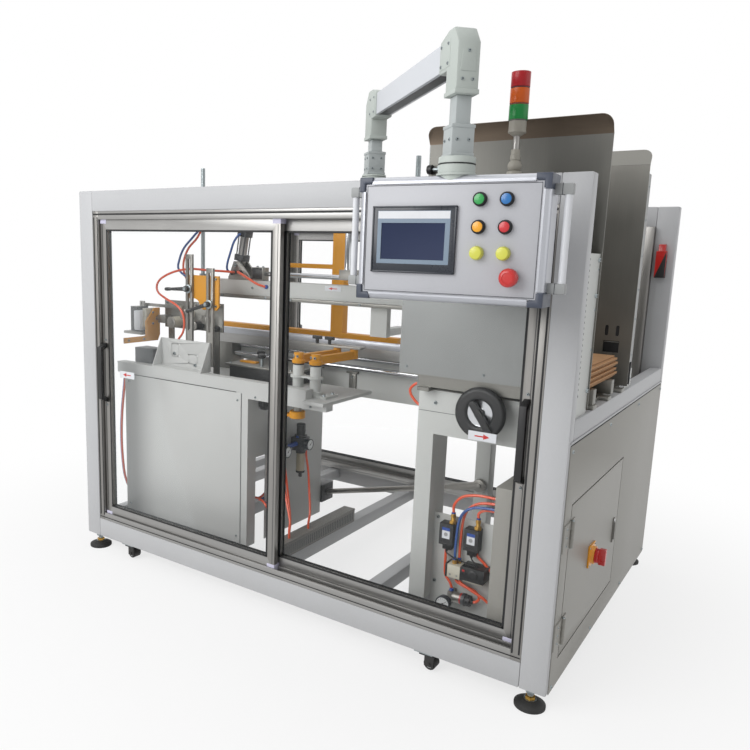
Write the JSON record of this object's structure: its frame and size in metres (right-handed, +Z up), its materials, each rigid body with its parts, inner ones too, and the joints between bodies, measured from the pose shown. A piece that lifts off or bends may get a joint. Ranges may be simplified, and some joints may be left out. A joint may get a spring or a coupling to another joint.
{
  "type": "case erector",
  "caption": "Enclosed packaging machine that opens flat carton blanks from a magazine and folds their flaps, with sliding clear doors and an operator panel on a swivel arm.",
  "frame": {"origin": "middle of the footprint, on the floor under the levelling feet", "axes": "+X towards the magazine end, +Y from the front doors to the rear doors, +Z up"},
  "size_m": [1.946, 1.6002, 1.718],
  "materials": {
    "frame_paint": "satin powder coat, light grey",
    "white_paint": "satin powder coat, near white",
    "aluminium_profile": "anodised, satin",
    "clear_pane": "clear polycarbonate sheet",
    "black_plastic": "moulded, fine grain",
    "foot_rubber": "moulded foot pads on zinc spindles",
    "stainless": "brushed sheet",
    "bright_steel": "ground and plated rods",
    "yellow_paint": "gloss machine yellow",
    "red_plastic": "moulded",
    "board": "plain corrugated board",
    "lens": "clear coloured lenses on a grey stem",
    "tower_grey": "moulded",
    "panel_case": "satin, with anodised edge profile",
    "panel_slate": "moulded corner pieces",
    "panel_grip": "satin tube",
    "screen": "bezel with a dark display",
    "buttons": "coloured caps in metal rings",
    "hose": "smooth polyurethane hose, orange and blue",
    "actuator_metal": "drawn barrels"
  },
  "bodies": {
    "frame": {"corner_posts": "frame_paint", "long_rails": "frame_paint", "side_rails": "frame_paint", "cross_beams": "frame_paint", "door_tracks": "aluminium_profile", "door_guides": "aluminium_profile", "door_jambs": "aluminium_profile", "levelling_feet": "foot_rubber", "casters": "black_plastic", "end_panel": "frame_paint", "cabinet_shell": "frame_paint", "magazine_plates": "stainless", "magazine_angles": "white_paint", "magazine_bed": "stainless", "carton_blanks": "board", "tower_light": "lens", "arm_base": "white_paint", "worktable": "white_paint", "pedestal": "white_paint", "pneumatic_units": "black_plastic", "conveyor_rails": "bright_steel", "gantry": "yellow_paint", "upper_beam": "white_paint", "threaded_rods": "bright_steel", "actuators": "actuator_metal", "flap_columns": "frame_paint", "forming_posts": "bright_steel", "forming_brackets": "yellow_paint", "air_hoses": "hose", "wire_duct": "tower_grey", "safety_switch": "black_plastic"},
    "front_left_door": {"front_left_door": "aluminium_profile", "front_left_pane": "clear_pane", "front_left_handle": "black_plastic"},
    "front_right_door": {"front_right_door": "aluminium_profile", "front_right_pane": "clear_pane", "front_right_handle": "black_plastic"},
    "rear_left_door": {"rear_left_door": "aluminium_profile", "rear_left_pane": "clear_pane", "rear_left_handle": "black_plastic"},
    "rear_right_door": {"rear_right_door": "aluminium_profile", "rear_right_pane": "clear_pane", "rear_right_handle": "black_plastic"},
    "cabinet_door": {"cabinet_door": "frame_paint", "cabinet_latch": "black_plastic", "switch_plate": "yellow_paint"},
    "main_switch": {"switch_knob": "red_plastic"},
    "panel_arm": {"arm_elbows": "white_paint", "arm_tubes": "white_paint"},
    "operator_panel": {"panel_box": "panel_case", "panel_caps": "panel_slate", "panel_handles": "panel_grip", "touch_screen": "screen", "push_buttons": "buttons"},
    "handwheel": {"handwheel": "black_plastic"},
    "front_flap_arm": {"front_flap_arm": "yellow_paint"},
    "rear_flap_arm": {"rear_flap_arm": "yellow_paint"},
    "flap_bar": {"flap_bar": "bright_steel"}
  },
  "joints": [
    {"name": "front_left_slide", "type": "slide", "parent": "frame", "child": "front_left_door", "axis": [1, 0, 0], "range_m": [0, 0.78]},
    {"name": "front_right_slide", "type": "slide", "parent": "frame", "child": "front_right_door", "axis": [1, 0, 0], "range_m": [-0.78, 0]},
    {"name": "rear_left_slide", "type": "slide", "parent": "frame", "child": "rear_left_door", "axis": [1, 0, 0], "range_m": [0, 0.78]},
    {"name": "rear_right_slide", "type": "slide", "parent": "frame", "child": "rear_right_door", "axis": [1, 0, 0], "range_m": [-0.78, 0]},
    {"name": "cabinet_hinge", "type": "hinge", "parent": "frame", "child": "cabinet_door", "pos_m": [0.935, -0.42437, 0.356], "axis": [0, 0, -1], "range_deg": [0, 110]},
    {"name": "switch_turn", "type": "hinge", "parent": "cabinet_door", "child": "main_switch", "pos_m": [0.947, -0.15787, 0.351], "axis": [1, 0, 0], "range_deg": [0, 90]},
    {"name": "arm_swivel", "type": "hinge", "parent": "frame", "child": "panel_arm", "pos_m": [0.187, -0.26487, 1.467], "axis": [0, 0, 1], "range_deg": [-85, 5]},
    {"name": "panel_swivel", "type": "hinge", "parent": "panel_arm", "child": "operator_panel", "pos_m": [0.68213, -0.73968, 1.441], "axis": [0, 0, 1], "range_deg": [-30, 30]},
    {"name": "handwheel_spin", "type": "hinge", "parent": "frame", "child": "handwheel", "pos_m": [0.632, -0.35987, 0.773], "axis": [0, -1, 0], "continuous": true},
    {"name": "front_flap_swing", "type": "hinge", "parent": "frame", "child": "front_flap_arm", "pos_m": [-0.003, -0.28387, 0.856], "axis": [0, 0, 1], "range_deg": [-45, 30]},
    {"name": "rear_flap_swing", "type": "hinge", "parent": "frame", "child": "rear_flap_arm", "pos_m": [-0.074, -0.28787, 0.856], "axis": [0, 0, 1], "range_deg": [-45, 30]},
    {"name": "flap_bar_pivot", "type": "hinge", "parent": "front_flap_arm", "child": "flap_bar", "pos_m": [0.01276, -0.05842, 0.878], "axis": [0, 0, 1], "range_deg": [-30, 45]}
  ],
  "couplings": [
    {"joint": "rear_flap_swing", "follows": "front_flap_swing", "ratio": 1},
    {"joint": "flap_bar_pivot", "follows": "front_flap_swing", "ratio": -1}
  ]
}
